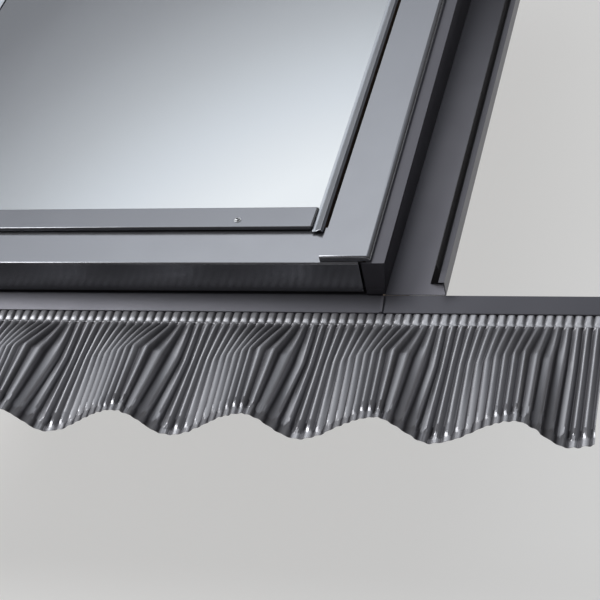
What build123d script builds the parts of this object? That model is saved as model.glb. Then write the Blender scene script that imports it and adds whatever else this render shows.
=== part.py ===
from build123d import *
import math
import os

os.makedirs("parts", exist_ok=True)

# A centre-pivot roof window with its frame, covers and flashing, in millimetres.
# X runs along the eaves, Y up the slope, Z out of the roof. The origin is the middle of the window
# on the plane of the battens, where the mounting brackets rest.

# Timber frame
frame_width = 780
frame_length = 1178
frame_bottom = -50           # room side of the frame
frame_top = 102.6            # outer side of the frame
jamb_width = 63
sill_width = 53
lining_groove_depth = 7
lining_groove_height = 10
lining_groove_above_bottom = 12
timber_arris = 3

# Sash
sash_to_jamb = 11            # from the jamb to the stile, for hinge and gasket
sash_to_sill = 6.5           # from the sill to the sash, for the gasket
sash_bottom = 22             # room side of the sash
sash_top = 79                # rail level under the glass
stile_width = 40
bottom_rail_width = 45.5
top_rail_width = 40
vent_slot_width = 27.5       # between the top rail and the end of the stiles
sash_arris = 2

# Glass
outer_pane_thickness = 4
inner_pane_thickness = 6
pane_gap = 14
glazing_gasket_height = 3
pane_side_margin = 4         # from the pane's edge to the stile's outer face
pane_low_margin = 12.5       # from the pane's edge to the sash's lower end
pane_rail_overlap = 28       # on the top rail
spacer_width = 7.5
spacer_inset = 1
gasket_width = 11

# Gaskets of the frame
gasket_base = 3              # foot of the side gaskets, twice that of the end gaskets
bulb_radius = 3.1
bulb_reach = 4.6
side_gasket_height = 30
side_gasket_drop = 10.6      # from the frame's outer side
side_gasket_from = 78        # from the middle, clear of the pivot
end_bulb_radius = 1.4
end_bulb_reach = 2.3
end_gasket_height = 16
sill_gasket_z = 40
head_gasket_z = 84

# Sheet metal
sheet = 1.2
flashing_sheet = 1.0
bend_radius = 2.0
seat_gap = 0.2               # between a sheet and what it lies on
glass_gap = 0.3              # between a lip and the glass

# Covers of the frame
cover_lift = 1.4             # from the timber to the outer side of the covers
cover_front_margin = 13.5    # from the timber to the front face
cover_front_height = 45
cover_side_margin = 19       # from the cover's end to the timber's outer side
cover_hem = 4
cover_back_lip = 1.5         # from the timber's inner edge
side_cover_overhang = 2      # over the jamb's inner edge
side_cover_margin = 3.5      # from the roll to the timber's outer side
side_cover_height = 8        # over the bottom cover
side_cover_end_margin = 11   # past the timber's end
side_cover_radius = 7
side_cover_lip_radius = 2.4
upper_cover_overhang = 7.4   # over the jamb's inner edge
upper_cover_clearance = 0.3
pivot_cover_overlap = 12

# Covers of the sash
sash_cover_lap = 7.5         # over the sill, from its inner edge
sash_cover_depth = 40
sash_cover_height = 4.6      # over the glass
sash_cover_low_gap = 1.3     # over the frame cover
sash_cover_step_height = 1.7 # of the upper lip
end_cap_thickness = 2
end_cap_reach = 0.4          # proud of the cover's face
profile_overhang = 1.4       # past the stile
profile_width = 12.8
profile_ridge_inset = 4.4
profile_ridge_height = 4.6   # over the glass
profile_lap = 13             # over the sill, from its inner edge
cover_rear_setback = 1.5     # of the profiles and the top cover, from the sash's upper end
sash_top_cover_depth = 50
cover_screw_margin = 94.6    # from the cover's end
cover_screw_above_edge = 13.1
cover_screw_washer = 4.6
cover_screw_head = 3.2
cover_washer_height = 0.8
cover_screw_height = 2.2

# Hood over the head
hood_depth = 103
hood_height = 24             # over the frame cover
hood_slope_depth = 24        # of its rising front
hood_slope_drop = 4          # from the ridge to the top of the slope
hood_lean = 3                # of the foot of the front
hood_radius = 2.5
hood_rear_bevel = 14
hood_lip_height = 5.5        # over the glass
hood_step = 5                # from the side covers to the foot of the slope

# Bottom flashing
strip_upstand_margin = 4     # from the timber's end
strip_depth = 32.5
strip_fall = 10.5
strip_fold = 2.5
strip_drop = 1               # from the cover's front edge to the strip
upstand_gap = 2              # from the upstand's end to the side wall
upstand_drop = 7             # from the cover to the upstand's edge
flashing_overhang = 265      # past the timber, on each side
seam_margin = 2.5            # from the seam to the foot of the side wall
seam_width = 3.2
seam_height = 2.4
seam_start = 2               # from the cover's front face

# Side flashing
side_flange_lap = 6.5        # under the side cover
side_wall_lean = 6
side_wall_margin = 6         # from the timber to the foot of the wall
corner_gap = 3.2             # from the front cover to the closed corner
corner_lap_height = 8
gutter_width = 72
gutter_floor_low = 56        # lower end of the gutter
gutter_floor_high = 12       # upper end of the gutter
gutter_lip = 18
gutter_hem = 7
foam_width = 20
foam_height = 30
foam_margin = 6              # from the tray's edges
foam_end = 20                # from the gutter's ends

# Top flashing
top_tray_depth = 96
top_tray_rise = 2            # over the gutters' upper ends
top_tray_lip = 16
tray_lap = 15                # over the gutters' upper ends
top_upstand_drop = 8         # from the cover to the upstand's edge

# Pleated apron
pleat_count = 120
apron_sheet = 1.2
apron_lap = 15.5             # under the strip
apron_reach = 186.5          # from the strip to the lower edge
crease_reach = 18            # from the strip to the crease under the gathers
kink_reach = 77.5            # from the strip to where the pleats turn
press_width = 12             # of the pressed edge
gather_drop = 1.5            # from the strip's fold to the gathers
gather_pleat = 1.6
full_pleat = 6.4             # depth of a pleat
pressed_pleat = 1.8
wave_period = 150
wave_crest_x = 124
wave_fall = 54.9             # from a crest to the next valley
edge_crest_z = 66.5          # height of a crest at the lower edge
edge_valley_z = 28.5
kink_crest_z = 62            # the same where the pleats turn
kink_valley_z = 36.5
kink_spread = 15.5           # widening of the pleats beside a crest
kink_lean = 17.5
spread_share = 0.22          # of the wave
edge_lean = 9.5
edge_swing = 5

# Pivot
pivot_z = 60
pivot_pin_radius = 7
pivot_running_gap = 0.06
pivot_shoulder_radius = 11
pivot_plate_thickness = 3
pivot_plate_half_length = 45
pivot_plate_height = 52
pivot_plate_drop = 4         # from the pin to the plate's middle
sash_plate_thickness = 2.5
sash_plate_half_length = 38
sash_plate_height = 46
sash_plate_drop = 7          # from the pin to the plate's middle
pivot_pin_depth = 12         # into the stile
pin_bore_gap = 1             # round the pin in the stile

# Ventilation flap and control bar
flap_thickness = 6
flap_side_gap = 2
flap_lift = 2                # from the sash's room side
flap_pin_radius = 2.5
flap_pin_length = 8
flap_axis_inset = 4.5        # from the top rail
flap_reach = 1               # past the sash's end
control_bar_radius = 9
control_bar_side_gap = 41    # from the stile
control_bar_reach = 9.5      # from the flap's axis
control_bar_drop = 28        # from the flap
control_bar_chamfer = 2
bar_arm_inset = 35           # from the bar's end
bar_arm_thickness = 6
bar_arm_wall = 4             # round the bar
bar_arm_corner = 6
bar_arm_relief = 8           # upper corner, clear of the top rail as the flap opens

# Latch
latch_travel = 11
latch_bolt_width = 14
latch_bolt_height = 8
latch_bolt_z = 51
latch_bolt_reach = 7         # into the head
latch_bolt_chamfer = 3
latch_case_width = 90
latch_case_height = 26
latch_case_depth = 18
latch_case_radius = 5
latch_wall = 3               # behind the bolt
latch_side_gap = 0.3
strike_half_width = 30
strike_height = 30
strike_thickness = 2.5
strike_radius = 4
pocket_gap = 4               # round the bolt in the head
strike_gap = 1               # round the bolt in the strike plate
pocket_depth = 13
filter_depth = 12
filter_height = 18
filter_gap = 25              # from the latch case
filter_margin = 6            # from the stile

# Barrel bolt
barrel_radius = 4
barrel_inset = 47.5          # from the sash's upper end
barrel_drop = 7              # from the sash's room side to the bolt's axis
barrel_gap = 0.3
barrel_engagement = 5        # into the jamb, when it is shot
barrel_travel = 22
barrel_tail = 28
knob_radius = 3.5
knob_length = 12
guide_overhang = 10          # past the stile's inner face
guide_plate = 2.5
guide_lug = 5
guide_width = 14
bush_depth = 18
bush_wall = 2.4
bush_radius = 2
bush_clearance = 0.6         # round the bolt in the bush

# Mounting brackets
bracket_inset = 149          # from the timber's end
bracket_hole_margin = 40     # from the timber
bracket_hole_radius = 3.5
bracket_reach = 62
bracket_width = 90
bracket_thickness = 3
bracket_leg = 60
bracket_leg_thickness = 2.5
bracket_screw_z = 45
screw_head_radius = 5
screw_head_height = 2.2

# Sizes that follow: timber, sash and glass
half_width = frame_width / 2
half_length = frame_length / 2
jamb_inner = half_width - jamb_width
sill_inner = half_length - sill_width
stile_outer = jamb_inner - sash_to_jamb
stile_inner = stile_outer - stile_width
sash_end = sill_inner - sash_to_sill
bottom_rail_upper = sash_end - bottom_rail_width
top_rail_outer = sash_end - vent_slot_width
top_rail_inner = top_rail_outer - top_rail_width
inner_pane_z = sash_top + glazing_gasket_height
spacer_z = inner_pane_z + inner_pane_thickness
outer_pane_z = spacer_z + pane_gap
glass_top = outer_pane_z + outer_pane_thickness
lip_top = glass_top + glass_gap + sheet
pane_half_width = stile_outer - pane_side_margin
pane_low = -sash_end + pane_low_margin
pane_high = top_rail_inner + pane_rail_overlap

# Sizes that follow: covers
cover_top = frame_top + cover_lift
cover_under = cover_top + seat_gap
cover_front = half_length + cover_front_margin
cover_front_low = cover_top - cover_front_height
cover_half_length = half_width - cover_side_margin
side_cover_inner = jamb_inner - side_cover_overhang
side_cover_outer = half_width - side_cover_margin
side_cover_top = cover_top + side_cover_height
side_cover_end = half_length + side_cover_end_margin
upper_cover_inner = jamb_inner - upper_cover_overhang
upper_cover_top = side_cover_top + upper_cover_clearance + sheet
upper_cover_outer = side_cover_outer + upper_cover_clearance + sheet
upper_cover_end = side_cover_end - sheet - seat_gap
hood_half_length = upper_cover_outer + upper_cover_clearance + sheet
profile_outer = stile_outer + profile_overhang
profile_inner = profile_outer - profile_width
profile_ridge = profile_outer - profile_ridge_inset
profile_low_end = sill_inner + profile_lap
profile_wall_low = pivot_z + pivot_shoulder_radius + 1
profile_wall_end = sill_inner - gasket_base
top_cover_rear = sash_end - cover_rear_setback
sash_cover_low = sill_inner + sash_cover_lap
sash_cover_upper_edge = sash_cover_low - sash_cover_depth
sash_cover_top = glass_top + sash_cover_height
sash_cover_under = cover_top + sash_cover_low_gap
sash_cover_half_length = profile_inner - glass_gap - end_cap_thickness

# Sizes that follow: flashing
side_flashing_inner = side_cover_outer - side_flange_lap
side_wall_foot = half_width + side_wall_margin
side_flashing_outer = side_wall_foot + side_wall_lean
gutter_outer = side_wall_foot + gutter_width
strip_upstand = half_length + strip_upstand_margin
strip_upper_z = cover_front_low - strip_drop
strip_low_edge = strip_upstand + strip_depth
strip_low_z = strip_upper_z - strip_fall
flashing_half_width = half_width + flashing_overhang
upstand_end = side_wall_foot - flashing_sheet - upstand_gap
tray_start = cover_front + seat_gap
tray_end = tray_start + top_tray_depth
top_tray_z = gutter_floor_high + top_tray_rise

# Sizes that follow: fittings
flap_low = sash_bottom + flap_lift
flap_axis_y = top_rail_outer + flap_axis_inset
flap_axis_z = flap_low + flap_thickness / 2
control_bar_y = flap_axis_y + control_bar_reach
control_bar_z = flap_low - control_bar_drop
control_bar_half_length = stile_inner - control_bar_side_gap
bar_arm_width = 2 * (control_bar_radius + bar_arm_wall)
bar_arm_low = control_bar_z - control_bar_radius - bar_arm_wall
latch_case_front = top_rail_outer + latch_case_depth
latch_bolt_rear = top_rail_outer + latch_wall + latch_travel + 1
latch_bolt_tip = sill_inner + latch_bolt_reach
barrel_y = sash_end - barrel_inset
barrel_z = sash_bottom - barrel_drop
barrel_tip = jamb_inner + barrel_engagement - barrel_travel
bush_hole = 2 * (barrel_radius + bush_clearance)
bush_width = bush_hole + 2 * bush_wall
bracket_y = half_length - bracket_inset
bracket_hole_x = half_width + bracket_hole_margin


def finish(piece, name):
    """Label a finished piece and write it."""
    piece.label = name
    export_step(piece, f"parts/{name}.step")


def offset_path(path, thickness):
    """The path moved sideways by the thickness, to its left, with mitred corners."""
    moved = []
    for i, (x, y) in enumerate(path):
        before = path[max(i - 1, 0):max(i - 1, 0) + 2]
        after = path[min(i, len(path) - 2):min(i, len(path) - 2) + 2]
        normals = []
        for (ax, ay), (bx, by) in (before, after):
            length = math.hypot(bx - ax, by - ay)
            normals.append(((ay - by) / length, (bx - ax) / length))
        (nx, ny), (mx, my) = normals
        scale = thickness / (1 + nx * mx + ny * my)
        moved.append((x + (nx + mx) * scale, y + (ny + my) * scale))
    return moved


def folded_sheet(plane, path, radius, thickness, side):
    """Section of a bent sheet: the path is one face, the thickness goes to the side, the outside of
    every bend has the radius."""
    sign = 1 if side == Side.LEFT else -1
    other = offset_path(path, sign * thickness)
    with BuildSketch(plane) as section:
        with BuildLine():
            Polyline(*path, *other[::-1], close=True)
        make_face()
        for i in range(1, len(path) - 1):
            (ax, ay), (bx, by), (cx, cy) = path[i - 1:i + 2]
            turns_left = (bx - ax) * (cy - by) - (by - ay) * (cx - bx) > 0
            inside, outside = (other[i], path[i]) if turns_left == (sign > 0) else (path[i], other[i])
            fillet(section.vertices().sort_by_distance(outside)[0], radius)
            if radius > 1.1 * thickness:
                fillet(section.vertices().sort_by_distance(inside)[0], radius - thickness)
    return section.sketch


def outline(plane, points):
    """Closed section with straight sides."""
    with BuildSketch(plane) as section:
        with BuildLine():
            Polyline(*points, close=True)
        make_face()
    return section.sketch


def across(x):
    """Plane for a section that runs along X, starting at x. Its axes are Y and Z."""
    return Plane.YZ.offset(x)


def upslope(y):
    """Plane for a section that runs down the slope from y. Its axes are X and Z."""
    return Plane.XZ.offset(-y)


def bar_between(low, high, arris=0):
    """Straight bar between two corners, with its long edges taken off on request."""
    size = [b - a for a, b in zip(low, high)]
    centre = tuple((a + b) / 2 for a, b in zip(low, high))
    with BuildPart() as bar:
        with Locations(centre):
            Box(*size)
        if arris:
            long_axis = (Axis.X, Axis.Y, Axis.Z)[size.index(max(size))]
            chamfer(bar.edges().filter_by(long_axis), arris)
    return bar.part


def mirrored(piece, name, about=Plane.YZ):
    """The same piece on the other side of the window."""
    with BuildPart() as other:
        add(piece)
        mirror(about=about, mode=Mode.REPLACE)
    finish(other.part, name)


# Frame: two jambs, a sill and a head, with a groove for the lining on the room side
groove_low = frame_bottom + lining_groove_above_bottom
groove_high = groove_low + lining_groove_height

with BuildPart() as jamb:
    add(bar_between((jamb_inner, -half_length, frame_bottom), (half_width, half_length, frame_top),
                    timber_arris))
    with Locations((jamb_inner + lining_groove_depth / 2, 0, (groove_low + groove_high) / 2)):
        Box(lining_groove_depth, 2 * sill_inner, lining_groove_height, mode=Mode.SUBTRACT)
mirrored(jamb.part, "frame_jamb_left")

# The right jamb is mortised for the bush of the barrel bolt
with BuildPart() as mortised_jamb:
    add(jamb.part)
    with BuildSketch(across(jamb_inner)):
        with Locations((barrel_y, barrel_z)):
            RectangleRounded(bush_width, bush_width, bush_radius)
    extrude(amount=bush_depth, mode=Mode.SUBTRACT)
finish(mortised_jamb.part, "frame_jamb_right")

with BuildPart() as sill:
    add(bar_between((-jamb_inner, -half_length, frame_bottom), (jamb_inner, -sill_inner, frame_top),
                    timber_arris))
    with Locations((0, -(sill_inner + lining_groove_depth / 2), (groove_low + groove_high) / 2)):
        Box(2 * jamb_inner, lining_groove_depth, lining_groove_height, mode=Mode.SUBTRACT)
finish(sill.part, "frame_sill")

# The head also takes the strike plate and the pocket behind it
with BuildPart() as head:
    add(bar_between((-jamb_inner, sill_inner, frame_bottom), (jamb_inner, half_length, frame_top),
                    timber_arris))
    with Locations((0, sill_inner + lining_groove_depth / 2, (groove_low + groove_high) / 2)):
        Box(2 * jamb_inner, lining_groove_depth, lining_groove_height, mode=Mode.SUBTRACT)
    with Locations((0, sill_inner + strike_thickness / 2, latch_bolt_z)):
        Box(2 * strike_half_width, strike_thickness, strike_height, mode=Mode.SUBTRACT)
    with Locations((0, sill_inner, latch_bolt_z)):
        Box(latch_bolt_width + 2 * pocket_gap, 2 * pocket_depth, latch_bolt_height + 2 * pocket_gap,
            mode=Mode.SUBTRACT)
finish(head.part, "frame_head")

with BuildPart() as strike_plate:
    with Locations((0, sill_inner + strike_thickness / 2, latch_bolt_z)):
        Box(2 * strike_half_width, strike_thickness, strike_height)
        Box(latch_bolt_width + 2 * strike_gap, strike_thickness, latch_bolt_height + 2 * strike_gap,
            mode=Mode.SUBTRACT)
    for end in (0, -1):
        fillet(strike_plate.edges().filter_by(Axis.Y).group_by(Axis.X)[end], strike_radius)
finish(strike_plate.part, "strike_plate")

# Bulb gaskets: beside the sash, at the sill and at the head
side_gasket_to = sill_inner - gasket_base - 1
side_gasket_high = frame_top - side_gasket_drop
side_gasket_low = side_gasket_high - side_gasket_height


def bulb(plane, foot, low, high):
    """Gasket section: a flat foot on the timber and a round bulb towards the sash."""
    toward = -1 if foot > 0 else 1
    with BuildSketch(plane) as section:
        with Locations((foot + toward * gasket_base / 2, (low + high) / 2)):
            Rectangle(gasket_base, high - low)
        with Locations((foot + toward * bulb_reach, (low + high) / 2)):
            Circle(bulb_radius)
    return section.sketch


with BuildPart() as side_gasket:
    for end in (-side_gasket_from, side_gasket_to):
        extrude(bulb(upslope(end), jamb_inner, side_gasket_low, side_gasket_high),
                amount=side_gasket_to - side_gasket_from)
finish(side_gasket.part, "side_gasket_right")
mirrored(side_gasket.part, "side_gasket_left")


def end_gasket(direction, z):
    """Low gasket across the window, on the sill or the head."""
    with BuildPart() as strip:
        with BuildSketch(across(-jamb_inner)):
            with Locations((direction * (sill_inner - gasket_base / 4), z)):
                Rectangle(gasket_base / 2, end_gasket_height)
            with Locations((direction * (sill_inner - end_bulb_reach), z)):
                Circle(end_bulb_radius)
        extrude(amount=2 * jamb_inner)
    return strip.part


finish(end_gasket(-1, sill_gasket_z), "sill_gasket")
finish(end_gasket(1, head_gasket_z), "head_gasket")

# Sash: two stiles between which the rails stand, with pin holes for the hinge and the flap
with BuildPart() as stile:
    add(bar_between((stile_inner, -sash_end, sash_bottom), (stile_outer, sash_end, sash_top), sash_arris))
    with Locations((stile_outer - sash_plate_thickness / 2, 0, pivot_z - sash_plate_drop)):
        Box(sash_plate_thickness, 2 * sash_plate_half_length, sash_plate_height, mode=Mode.SUBTRACT)
    with BuildSketch(Plane.YZ.offset(stile_outer)):
        with Locations((0, pivot_z)):
            Circle(pivot_pin_radius + pin_bore_gap)
    extrude(amount=-(sash_plate_thickness + pivot_pin_depth + pin_bore_gap), mode=Mode.SUBTRACT)
    with BuildSketch(Plane.YZ.offset(stile_inner)):
        with Locations((flap_axis_y, flap_axis_z)):
            Circle(flap_pin_radius + pivot_running_gap)
    extrude(amount=flap_pin_length, mode=Mode.SUBTRACT)
finish(stile.part, "sash_stile_right")
mirrored(stile.part, "sash_stile_left")

for name, low_y, high_y in (("sash_bottom_rail", -sash_end, -bottom_rail_upper),
                            ("sash_top_rail", top_rail_inner, top_rail_outer)):
    rail = bar_between((-stile_inner, low_y, sash_bottom), (stile_inner, high_y, sash_top), sash_arris)
    finish(rail, name)

# Glass unit: gasket, inner pane, spacer and outer pane, one on top of the other


def ring(inset, width, low, high):
    """Flat ring that follows the pane's edge."""
    outer_x = pane_half_width - inset
    centre_y = (pane_low + pane_high) / 2
    outer_y = (pane_high - pane_low) / 2 - inset
    with BuildPart() as band:
        with BuildSketch(Plane.XY.offset(low)):
            with Locations((0, centre_y)):
                Rectangle(2 * outer_x, 2 * outer_y)
                Rectangle(2 * (outer_x - width), 2 * (outer_y - width), mode=Mode.SUBTRACT)
        extrude(amount=high - low)
    return band.part


finish(ring(spacer_inset, gasket_width, sash_top, inner_pane_z), "glazing_gasket")
finish(bar_between((-pane_half_width, pane_low, inner_pane_z), (pane_half_width, pane_high, spacer_z)),
       "inner_pane")
finish(ring(spacer_inset, spacer_width, spacer_z, outer_pane_z), "spacer_frame")
finish(bar_between((-pane_half_width, pane_low, outer_pane_z), (pane_half_width, pane_high, glass_top)),
       "outer_pane")

# Side glazing profile: a lip on the glass, a ridge, and a wall that clips over the stile. Beyond the
# sash's lower end only its upper part runs on, over the frame cover.
profile_path = [
    (profile_inner, lip_top),
    (profile_ridge - profile_ridge_inset, lip_top + 0.5),
    (profile_ridge, glass_top + profile_ridge_height),
    (profile_outer, glass_top + 0.6),
    (profile_outer, profile_wall_low),
]
with BuildPart() as profile:
    extrude(folded_sheet(upslope(top_cover_rear), profile_path, 0.5, sheet, Side.RIGHT),
            amount=top_cover_rear + profile_low_end)
    with Locations((profile_outer, -profile_low_end, sash_cover_under)):
        Box(2 * profile_width, 2 * (profile_low_end - profile_wall_end), 2 * sash_cover_under,
            align=(Align.CENTER, Align.CENTER, Align.MAX), mode=Mode.SUBTRACT)
finish(profile.part, "glazing_profile_right")
mirrored(profile.part, "glazing_profile_left")

# Sash bottom cover: a lip on the glass, a flat top, a rolled lower edge with a hem, and a leg on the rail
sash_cover_step = lip_top + sash_cover_step_height
leg_face = sash_end + seat_gap + sheet
sash_cover_path = [
    (-sash_cover_upper_edge, lip_top),
    (-sash_cover_upper_edge - 1.5, sash_cover_step),
    (-sash_cover_low, sash_cover_top),
    (-sash_cover_low, sash_cover_under),
    (-leg_face, sash_cover_under),
    (-leg_face, profile_wall_low),
]
with BuildPart() as sash_cover:
    extrude(folded_sheet(across(-sash_cover_half_length), sash_cover_path, 1.3, sheet, Side.LEFT),
            amount=2 * sash_cover_half_length)
finish(sash_cover.part, "sash_bottom_cover")

# End cap: a curved plastic plate that closes the rolled edge at each end
end_cap_outline = [
    (-sash_cover_upper_edge - 3, glass_top + glass_gap),
    (-sash_cover_upper_edge - 3, sash_cover_step + end_cap_reach),
    (-sash_cover_low - end_cap_reach, sash_cover_top + end_cap_reach),
    (-sash_cover_low - end_cap_reach, sash_cover_under),
    (-leg_face, sash_cover_under),
    (-leg_face, glass_top + glass_gap),
]
with BuildPart() as end_cap:
    extrude(outline(across(sash_cover_half_length), end_cap_outline), amount=end_cap_thickness)
    fillet(end_cap.edges().filter_by(Axis.X).group_by(Axis.Y)[0], 1.8)
finish(end_cap.part, "sash_end_cap_right")
mirrored(end_cap.part, "sash_end_cap_left")

# Screws of the sash cover, each with a washer
cover_screw_x = sash_cover_half_length - cover_screw_margin
cover_screw_y = -(sash_cover_low - cover_screw_above_edge)
cover_slope = (sash_cover_top - sash_cover_step) / (sash_cover_depth - 1.5)
cover_screw_seat = sash_cover_top - cover_screw_above_edge * cover_slope + seat_gap
with BuildPart() as cover_screws:
    for x in (-cover_screw_x, cover_screw_x):
        with Locations((x, cover_screw_y, cover_screw_seat)):
            Cylinder(cover_screw_washer, cover_washer_height, align=(Align.CENTER, Align.CENTER, Align.MIN))
        with BuildSketch(Plane.XY.offset(cover_screw_seat + cover_washer_height)):
            with Locations((x, cover_screw_y)):
                RegularPolygon(cover_screw_head, 6)
        extrude(amount=cover_screw_height - cover_washer_height)
finish(cover_screws.part, "sash_cover_screws")

# Sash top cover, under the hood
sash_top_cover_front = top_cover_rear - sash_top_cover_depth
sash_top_path = [
    (sash_top_cover_front, lip_top),
    (sash_top_cover_front + 2, lip_top + 1),
    (top_cover_rear, lip_top + 1),
    (top_cover_rear, sash_top + glazing_gasket_height),
]
with BuildPart() as sash_top_cover:
    extrude(folded_sheet(across(-sash_cover_half_length), sash_top_path, 0.7, sheet, Side.RIGHT),
            amount=2 * sash_cover_half_length)
finish(sash_top_cover.part, "sash_top_cover")

# Bottom frame cover: lies on the sill and folds down in front, with a hem. The head has the same cover.
frame_cover_path = [
    (-(sill_inner + cover_back_lip), cover_top),
    (-cover_front, cover_top),
    (-cover_front, cover_front_low),
    (-(cover_front - cover_hem), cover_front_low),
]
with BuildPart() as frame_cover:
    extrude(folded_sheet(across(-cover_half_length), frame_cover_path, bend_radius, sheet, Side.LEFT),
            amount=2 * cover_half_length)
finish(frame_cover.part, "bottom_frame_cover")
mirrored(frame_cover.part, "head_cover", Plane.XZ)

# Lower side cover: a shallow tray turned over, with a rolled outer edge and a closed lower end
with BuildPart() as side_cover:
    with Locations(((side_cover_inner + side_cover_outer) / 2, -side_cover_end / 2,
                    (cover_under + side_cover_top) / 2)):
        Box(side_cover_outer - side_cover_inner, side_cover_end, side_cover_top - cover_under)
    fillet(side_cover.edges().filter_by(Axis.Y).group_by(Axis.Z)[-1].sort_by(Axis.X)[-1], side_cover_radius)
    fillet(side_cover.faces().sort_by(Axis.Z)[-1].edges().filter_by(Axis.X).sort_by(Axis.Y)[0],
           side_cover_lip_radius)
    open_faces = [side_cover.faces().sort_by(Axis.Z)[0], side_cover.faces().sort_by(Axis.Y)[-1]]
    offset(amount=-sheet, openings=open_faces, kind=Kind.INTERSECTION)
finish(side_cover.part, "lower_side_cover_right")
mirrored(side_cover.part, "lower_side_cover_left")

# Upper side cover: laps over the lower one at the pivot and runs under the hood
upper_cover_path = [
    (upper_cover_inner, cover_under),
    (upper_cover_inner, upper_cover_top),
    (upper_cover_outer, upper_cover_top),
    (upper_cover_outer, cover_under),
]
with BuildPart() as upper_cover:
    extrude(folded_sheet(upslope(upper_cover_end), upper_cover_path, bend_radius, sheet, Side.RIGHT),
            amount=upper_cover_end + pivot_cover_overlap)
finish(upper_cover.part, "upper_side_cover_right")
mirrored(upper_cover.part, "upper_side_cover_left")

# Hood: one folded sheet over the head with closed ends and a lip over the sash
hood_rear = side_cover_end
hood_front = hood_rear - hood_depth
hood_top = cover_top + hood_height
hood_path = [
    (hood_front, glass_top + hood_lip_height),
    (hood_front + hood_lean, upper_cover_top + hood_step),
    (hood_front + hood_slope_depth, hood_top - hood_slope_drop),
    (hood_rear - hood_rear_bevel, hood_top),
    (hood_rear, hood_top - hood_rear_bevel),
    (hood_rear, cover_under),
]
hood_end_outline = [
    (hood_front + hood_lean + sheet, upper_cover_top + seat_gap),
    (hood_front + hood_lean + sheet, upper_cover_top + hood_step),
    (hood_front + hood_slope_depth, hood_top - hood_slope_drop - sheet / 2),
    (hood_rear - hood_rear_bevel, hood_top - sheet / 2),
    (hood_rear - sheet / 2, hood_top - hood_rear_bevel),
    (hood_rear - sheet / 2, cover_under),
    (hood_rear - hood_rear_bevel, cover_under),
]
with BuildPart() as hood:
    extrude(folded_sheet(across(-hood_half_length), hood_path, hood_radius, sheet, Side.RIGHT),
            amount=2 * hood_half_length)
    for side in (-1, 1):
        with Locations((side * (stile_outer + hood_half_length) / 2, hood_front, upper_cover_top + seat_gap)):
            Box(hood_half_length - stile_outer, 2 * hood_slope_depth, side_cover_height,
                align=(Align.CENTER, Align.CENTER, Align.MAX), mode=Mode.SUBTRACT)
    for start in (-hood_half_length, hood_half_length - sheet):
        extrude(outline(across(start), hood_end_outline), amount=sheet)
finish(hood.part, "top_hood")

# Bottom flashing: an upstand behind the frame cover and a strip that slopes down to a folded edge
strip_path = [
    (-strip_upstand, cover_top - upstand_drop),
    (-strip_upstand, strip_upper_z),
    (-strip_low_edge, strip_low_z),
    (-strip_low_edge, strip_low_z - strip_fold),
]
with BuildPart() as bottom_flashing:
    extrude(folded_sheet(across(-flashing_half_width), strip_path, 1.2, flashing_sheet, Side.LEFT),
            amount=2 * flashing_half_width)
    for side in (-1, 1):
        with Locations((side * (upstand_end + flashing_half_width) / 2, -strip_upstand, strip_upper_z)):
            Box(flashing_half_width - upstand_end, 2 * (cover_front - strip_upstand),
                2 * cover_front_height, mode=Mode.SUBTRACT)
finish(bottom_flashing.part, "bottom_flashing")

# Folded seam of the strip at each corner

def strip_height(y):
    """Upper face of the strip at a distance y down from the middle."""
    return strip_upper_z - (y - strip_upstand) * strip_fall / strip_depth


seam_path = [(-y, strip_height(y)) for y in (cover_front + seam_start, strip_low_edge)]
with BuildPart() as seam:
    extrude(outline(across(side_wall_foot - seam_margin - seam_width / 2), [
        *seam_path, *[(y, z + seam_height) for y, z in seam_path[::-1]]]), amount=seam_width)
    fillet(seam.faces().sort_by(Axis.Z)[-1].edges(), seam_height / 3)
finish(seam.part, "corner_seam_right")
mirrored(seam.part, "corner_seam_left")


# Side flashing: a strip beside the covers, a wall, a gutter whose floor falls towards the window's
# top end, and a folded outer edge
def side_section(y, floor):
    """Section of the side flashing at y, with its gutter floor at the given height."""
    inner_foot = side_wall_foot - flashing_sheet
    inner_top = side_flashing_outer - flashing_sheet
    return outline(upslope(y), [
        (side_flashing_inner, cover_top), (side_flashing_outer, cover_top),
        (side_wall_foot, floor), (gutter_outer - flashing_sheet, floor),
        (gutter_outer - flashing_sheet, floor + gutter_lip), (gutter_outer - gutter_hem, floor + gutter_lip),
        (gutter_outer - gutter_hem, floor + gutter_lip + flashing_sheet),
        (gutter_outer, floor + gutter_lip + flashing_sheet), (gutter_outer, floor - flashing_sheet),
        (inner_foot, floor - flashing_sheet), (inner_top, cover_top - flashing_sheet),
        (side_flashing_inner, cover_top - flashing_sheet)])


corner_inner = cover_half_length + corner_gap
corner_lap_low = gutter_floor_low + flashing_sheet
corner_lap = 0.8
with BuildPart() as side_flashing:
    add(side_section(-cover_front, gutter_floor_low))
    add(side_section(cover_front, gutter_floor_high))
    loft(ruled=True)
    extrude(outline(upslope(-cover_front + flashing_sheet), [
        (corner_inner, cover_top), (side_flashing_outer, cover_top), (side_wall_foot, gutter_floor_low),
        (corner_inner, gutter_floor_low)]), amount=flashing_sheet)
    extrude(outline(upslope(-cover_front), [
        (corner_inner, corner_lap_low), (side_wall_foot, corner_lap_low),
        (side_wall_foot, corner_lap_low + corner_lap_height),
        (corner_inner, corner_lap_low + corner_lap_height)]), amount=corner_lap)
finish(side_flashing.part, "side_flashing_right")
mirrored(side_flashing.part, "side_flashing_left")


def foam_section(y, floor):
    """Section of the foam strip on the gutter's floor."""
    right = gutter_outer - flashing_sheet - 1
    return outline(upslope(y), [
        (right - foam_width, floor), (right, floor), (right, floor + gutter_lip - 1),
        (right - gutter_hem, floor + gutter_lip - 1), (right - gutter_hem - 2, floor + foam_height)])


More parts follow.
